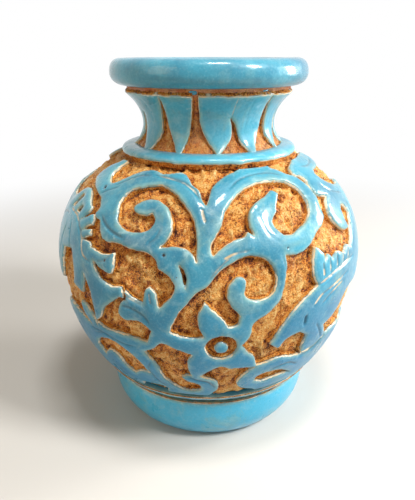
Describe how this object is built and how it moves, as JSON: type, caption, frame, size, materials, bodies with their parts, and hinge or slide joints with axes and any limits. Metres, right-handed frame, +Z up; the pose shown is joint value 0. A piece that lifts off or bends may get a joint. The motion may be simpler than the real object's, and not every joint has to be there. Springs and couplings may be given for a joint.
{
  "type": "carved faience jar",
  "caption": "Round-bellied turquoise jar with birds and leaf scrolls carved down to bare clay, a waisted neck cut with petals, a rolled rim and a hollow foot.",
  "frame": {"origin": "middle of the foot's flat seat", "axes": "+Z up the jar's axis, -Y towards the carved front, +X to the right when facing the front"},
  "size_m": [0.214, 0.214, 0.25],
  "materials": {
    "glaze": "soft gloss turquoise glaze",
    "bare_clay": "rough tooled ochre clay"
  },
  "bodies": {
    "root": {"foot_ring": "glaze", "foot_fillet": "glaze", "body_wall": "bare_clay", "front_scroll_tree": "glaze", "front_left_bird": "glaze", "front_right_bird": "glaze", "back_scroll_tree": "glaze", "back_left_bird": "glaze", "back_right_bird": "glaze", "flower_bosses": "glaze", "shoulder_band": "glaze", "neck_wall": "bare_clay", "neck_petals": "glaze", "lip_roll": "glaze"}
  },
  "joints": []
}
